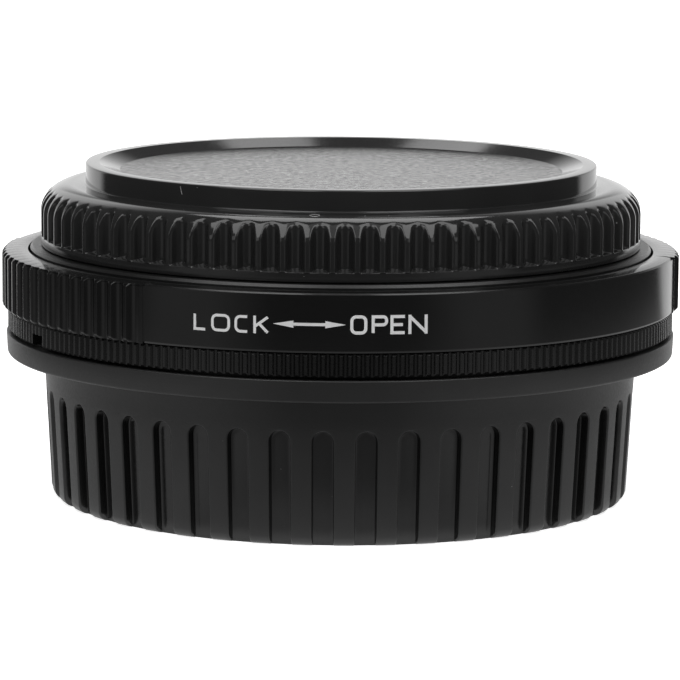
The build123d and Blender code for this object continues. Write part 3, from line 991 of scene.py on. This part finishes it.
def combine(tree, operation, *values):
    """One sum over varying values."""
    node = tree.nodes.new("ShaderNodeMath")
    node.operation = operation
    return feed(tree, node, dict(enumerate(values)))["Value"]


def split(tree, place):
    """The three numbers of a place or direction."""
    return add_node(tree, "SeparateXYZ", {"Vector": place})


def mixed(tree, share, first, second):
    """Colour between two, each fixed or varying."""
    node = tree.nodes.new("ShaderNodeMix")
    node.data_type = "RGBA"
    return feed(tree, node, {"Factor": share, "A": first, "B": second})["Result"]


def raised(tree, shader, height, depth):
    """Give a surface a relief this many millimetres deep."""
    bump = add_node(tree, "Bump", {"Height": height, "Distance": depth * mm, "Strength": 1.0})
    feed(tree, shader, {"Normal": bump["Normal"]})


def grey(level):
    return (level, level, level, 1)


fine_detail = 4.0
cloud_scale = 160.0
dust_scale = 420.0
dust_reach = (0.015, 0.035)
dust_choice = 0.02
dust_grey = 0.3
# Painted shade: the rear mount's chromed plate turns black beyond this radius, so that its edge stays dark in
# the shaded gap between the rear cap and the body
shade_paint_radius = 31.3
shade_paint_blend = 0.05
shade_paint_grey = 0.02
glass_cloud_scale = 40.0
glass_tints = ((0.88, 0.95, 0.92, 1), (0.92, 0.94, 0.97, 1))
glass_scale = 500.0
glass_rough = (0.004, 0.012)
glass_index = 1.52
grain_pebble_scale = 2200.0
grain_crease_scale = 2000.0
grain_depth = 0.025
grain_scale = 1700.0
grain_rough = (0.14, 0.25)
grain_colour_scale = 4000.0
grain_greys = (0.014, 0.022)


def finish_material(name, dark, light, rough, grain, depth, uneven=0.05, metal=0.0, dust=0.0, edge=None):
    """Finish with cloudy colour, uneven gloss and a fine grain, and dust or painted shade, black beyond a
    radius, where asked.
    """
    material, tree, shader, place = new_material(name)
    fine = noise(tree, place, grain, fine_detail)
    paint = mixed(tree, spread(tree, noise(tree, place, cloud_scale)), grey(dark), grey(light))
    if dust:
        paint = dusty(tree, place, paint, dust)
    # Where an edge radius is given, black painted shade beyond it
    if edge:
        paint = painted_gap_shade(tree, place, paint, edge)
    gloss = spread(tree, fine, rough - uneven, rough + uneven)
    feed(tree, shader, {"Base Color": paint, "Roughness": gloss, "Metallic": metal})
    raised(tree, shader, fine, depth)
    return material


def dusty(tree, place, paint, amount):
    """Scatter pale specks, a fraction of a millimetre across, over a colour."""
    texture = cells(tree, place, dust_scale)
    dot = spread(tree, texture["Distance"], 1.0, 0.0, *dust_reach)
    chance = add_node(tree, "SeparateColor", {"Color": texture["Color"]})["Red"]
    kept = spread(tree, chance, 0.0, 1.0, 1.0 - amount, 1.0 - amount + dust_choice)
    return mixed(tree, combine(tree, "MULTIPLY", dot, kept), paint, grey(dust_grey))


def painted_gap_shade(tree, place, paint, edge):
    """Painted shade: turn a colour black beyond this distance from the axis, where the rear mount's plate
    edge sits in the shaded gap between the rear cap and the body.
    """
    axes = split(tree, place)
    squares = [combine(tree, "MULTIPLY", axes[axis], axes[axis]) for axis in ("X", "Y")]
    reach = combine(tree, "SQRT", combine(tree, "ADD", *squares))
    start, end = (edge - shade_paint_blend) * mm, (edge + shade_paint_blend) * mm
    return mixed(tree, spread(tree, reach, 0.0, 1.0, start, end), paint, grey(shade_paint_grey))


def glass_material():
    """Clear lens glass with the faint tint of its coating."""
    material, tree, shader, place = new_material("coated_glass")
    tint = spread(tree, noise(tree, place, glass_cloud_scale))
    gloss = spread(tree, noise(tree, place, glass_scale), *glass_rough)
    feed(tree, shader, {"Base Color": mixed(tree, tint, *glass_tints), "Roughness": gloss})
    feed(tree, shader, {"Transmission Weight": 1.0, "IOR": glass_index})
    return material


def leather_material():
    """Moulded leather grain of the front cap's disc."""
    material, tree, shader, place = new_material("front_cap_grain")
    pebbles = cells(tree, place, grain_pebble_scale, "SMOOTH_F1")["Distance"]
    creases = noise(tree, place, grain_crease_scale, fine_detail)
    raised(tree, shader, combine(tree, "SUBTRACT", creases, pebbles), grain_depth)
    colour = mixed(tree, spread(tree, noise(tree, place, grain_colour_scale)), *map(grey, grain_greys))
    gloss = spread(tree, noise(tree, place, grain_scale), *grain_rough)
    feed(tree, shader, {"Base Color": colour, "Roughness": gloss})
    return material


# What each slot of the record looks like: darkest and lightest grey, roughness, grain per metre and its depth
finishes = {"coated_glass": glass_material()}
for slot, look, extras in (
    ("front_cap_plastic", (0.017, 0.021, 0.095, 2500.0, 0.0005), {"uneven": 0.015, "dust": 0.12}),
    ("rear_cap_plastic", (0.014, 0.019, 0.42, 4000.0, 0.008), {"dust": 0.08}),
    ("ring_anodised", (0.005, 0.007, 0.15, 5000.0, 0.0005), {"uneven": 0.03, "dust": 0.08}),
    ("body_anodised", (0.004, 0.006, 0.28, 5000.0, 0.001), {}),
    ("black_anodised", (0.006, 0.009, 0.32, 5000.0, 0.002), {}),
    # Its outer edge gets painted shade, black in the gap under the knurled band
    ("chromed_brass", (0.55, 0.62, 0.25, 3000.0, 0.001), {"metal": 1.0, "edge": shade_paint_radius}),
    ("screw_steel", (0.2, 0.3, 0.35, 3000.0, 0.001), {"metal": 1.0}),
):
    finishes[slot] = finish_material(slot, *look, **extras)
# Slot floors: the darker grey than the ribs is painted shade in the recesses; the lower roughness and the
# pale dust specks belong to the surface itself
slot_floor_shaded_finish = finish_material("rear_cap_slots_painted_shade", 0.006, 0.01, 0.17, 2500.0, 0.002, dust=0.15)
legend_finish = finish_material("legend_paint", 0.88, 0.94, 0.5, 3000.0, 0.002)
dust_finish = finish_material("dust", 0.28, 0.4, 0.6, 3000.0, 0.002)


def dress(piece, *materials):
    piece.data.materials.clear()
    for material in materials:
        piece.data.materials.append(material)


for part in frame["record"]["subparts"]:
    dress(frame["nodes"][part["node"]], finishes[part["material_slot"]])
dress(front_cap, finishes["front_cap_plastic"], leather_material())
for face in front_cap.data.polygons:
    face.material_index = int(on_disc(face.center))
dress(control_ring, finishes["ring_anodised"])
dress(legend, legend_finish)
dress(body, finishes["body_anodised"])
# Slot floors take the darker finish, painted shade
dress(rear_cap, finishes["rear_cap_plastic"], slot_floor_shaded_finish)
for face in rear_cap.data.polygons:
    face.material_index = int(in_slot(face.center))
dress(front_marks, dust_finish)
dress(rear_marks, dust_finish)

# Floor, light and camera, with turns in degrees from +Y
# The white backdrop stands behind the object and fades towards its top. Two taller sheets stand behind it,
# off its middle, and two pale ones lie in front.
studio_dark = 0.07
backdrop_light = 1.1
backdrop_side = 48.0
backdrop_edge = 3.0
backdrop_rise = (7.5, 20.0)
tall_sheet = (8.0, 12.0, 22.0, 36.0)
tall_rise = (28.0, 46.0)
front_sheet = (112.0, 122.0, 140.0, 158.0)
front_light = 0.3

# The floor is light round the object, darker in front of its middle and brightest at its foot. Each glow has
# its level near and far, and the two distances.
around_glow = (0.64, studio_dark, 80.0, 170.0)
foot_glow = (1.0, studio_dark, 29.0, 34.0)
skirt_glow = (0.5, studio_dark, 36.0, 56.0)
bare_glow = (0.78, 1.0, 60.0, 200.0)
middle_share = 0.4
middle_turns = (140.0, 165.0)
floor_grey = 0.85
floor_reach = 4.0


def turn_of(tree, axes):
    """Angle round from +Y to either side."""
    return combine(tree, "ABSOLUTE", combine(tree, "ARCTAN2", axes["X"], axes["Y"]))


def falling(tree, turn, low, high, start, end):
    """Number that runs from low to high between two angles."""
    return spread(tree, turn, low, high, radians(start), radians(end))


def behind(tree, turn):
    """1 in the directions where the backdrop stands, falling to 0 at its sides."""
    return falling(tree, turn, 1.0, 0.0, backdrop_side - backdrop_edge, backdrop_side + backdrop_edge)


def window(tree, turn, angles):
    """1 between the middle two of four angles, falling to 0 at the outer two."""
    rise = falling(tree, turn, 0.0, 1.0, *angles[:2])
    fall = falling(tree, turn, 1.0, 0.0, *angles[2:])
    return combine(tree, "MULTIPLY", rise, fall)


def below(tree, axes, fade, top):
    """1 low down, falling to 0 between two angles above the horizon."""
    return spread(tree, axes["Z"], 1.0, 0.0, sin(radians(fade)), sin(radians(top)))


def end_tree(tree, output, lit, bare):
    """End a tree in one shader for reflections, and one for what shows straight or through glass."""
    path = add_node(tree, "LightPath", {})
    seen = combine(tree, "MAXIMUM", path["Is Camera Ray"], path["Is Transmission Ray"])
    either = add_node(tree, "MixShader", {"Fac": seen, 1: lit, 2: bare})
    add_node(tree, output, {"Surface": either["Shader"]})


def floor_material():
    """White to the camera, and to reflections a floor that glows unevenly."""
    material = bpy.data.materials.new("floor")
    material.use_nodes = True
    tree = material.node_tree
    tree.nodes.clear()
    place = add_node(tree, "NewGeometry", {})["Position"]
    turn = turn_of(tree, split(tree, place))
    reach = tree.nodes.new("ShaderNodeVectorMath")
    reach.operation = "LENGTH"
    length = feed(tree, reach, {0: place})["Value"]

    def outward(start, end, near, far):
        return spread(tree, length, start, end, near * mm, far * mm)

    aside = falling(tree, turn, 1.0, middle_share, *middle_turns)
    lights = [
        combine(tree, "MULTIPLY", outward(*around_glow), aside),
        outward(*foot_glow),
        outward(*skirt_glow),
        spread(tree, behind(tree, turn), studio_dark, backdrop_light, 0.0, 1.0),
        spread(tree, window(tree, turn, front_sheet), studio_dark, front_light, 0.0, 1.0),
    ]
    most = lights[0]
    for light in lights[1:]:
        most = combine(tree, "MAXIMUM", most, light)
    glow = add_node(tree, "Emission", {"Strength": most})
    white = add_node(tree, "BsdfDiffuse", {"Color": grey(floor_grey)})
    lift = add_node(tree, "Emission", {"Strength": outward(*bare_glow)})
    sheet = add_node(tree, "AddShader", {0: white["BSDF"], 1: lift["Emission"]})
    end_tree(tree, "OutputMaterial", glow["Emission"], sheet["Shader"])
    return material


def make_floor():
    corners = [(x * floor_reach, y * floor_reach, 0) for x, y in ((-1, -1), (1, -1), (1, 1), (-1, 1))]
    mesh = bpy.data.meshes.new("floor")
    mesh.from_pydata(corners, [], [[0, 1, 2, 3]])
    mesh.materials.append(floor_material())
    floor = add_object("floor", mesh)


def make_world():
    world = bpy.data.worlds.new("studio")
    bpy.context.scene.world = world
    world.use_nodes = True
    tree = world.node_tree
    tree.nodes.clear()
    axes = split(tree, add_node(tree, "TexCoord", {})["Generated"])
    turn = turn_of(tree, axes)
    wide = combine(tree, "MULTIPLY", below(tree, axes, *backdrop_rise), behind(tree, turn))
    tall = combine(tree, "MULTIPLY", below(tree, axes, *tall_rise), window(tree, turn, tall_sheet))
    light = spread(tree, combine(tree, "MAXIMUM", wide, tall), studio_dark, backdrop_light, 0.0, 1.0)
    surround = add_node(tree, "Background", {"Color": grey(1), "Strength": light})
    white = add_node(tree, "Background", {"Color": grey(1), "Strength": 1.0})
    end_tree(tree, "OutputWorld", surround["Background"], white["Background"])


def make_softbox(name, turn, rise, size, radiance):
    """Area lamp a metre from the object, this far round from +Y and this high, with its width along X."""
    turn, rise = radians(turn), radians(rise)
    back = Vector((sin(turn) * cos(rise), cos(turn) * cos(rise), sin(rise)))
    lamp = bpy.data.lights.new(name, "AREA")
    lamp.shape = "RECTANGLE"
    lamp.size, lamp.size_y = size
    lamp.energy = radiance * pi * size[0] * size[1]
    softbox = add_object(name, lamp)
    right = (Vector((1, 0, 0)) - back * back.x).normalized()
    facing = Matrix((right, back.cross(right), back)).transposed().to_4x4()
    softbox.matrix_world = Matrix.Translation(back + Vector((0, 0, 0.02))) @ facing


make_floor()
make_world()
make_softbox("rear_softbox", turn=0, rise=62, size=(0.54, 0.42), radiance=2.6)
make_softbox("middle_softbox", turn=180, rise=62, size=(0.2, 1.1), radiance=0.55)
for side in (-1, 1):
    make_softbox("front_softbox", turn=side * 139, rise=57, size=(0.5, 1.1), radiance=2.6)
    make_softbox("front_low_softbox", turn=side * 139, rise=19, size=(0.5, 0.3), radiance=0.9)
make_softbox("left_panel", turn=-7.0, rise=39.5, size=(0.078, 0.18), radiance=1.65)
make_softbox("right_panel", turn=5.5, rise=41.5, size=(0.094, 0.13), radiance=1.6)

camera_distance = 378.0
camera_height = 73.04
camera_tilt = 8.75
camera_roll = 0.4
camera_focal = 206.7
camera_sensor = 36.0
camera_clip = (0.01, 20.0)

camera = add_object("camera", bpy.data.cameras.new("camera"))
camera.data.sensor_width = camera_sensor
camera.data.lens = camera_focal
camera.data.clip_start, camera.data.clip_end = camera_clip
camera.matrix_world = (
    Matrix.Translation((0, -camera_distance * mm, camera_height * mm))
    @ Euler((radians(90 - camera_tilt), 0, 0)).to_matrix().to_4x4()
    @ Matrix.Rotation(radians(camera_roll), 4, "Z")
)
bpy.context.scene.camera = camera
bpy.context.scene.view_settings.view_transform = "Standard"
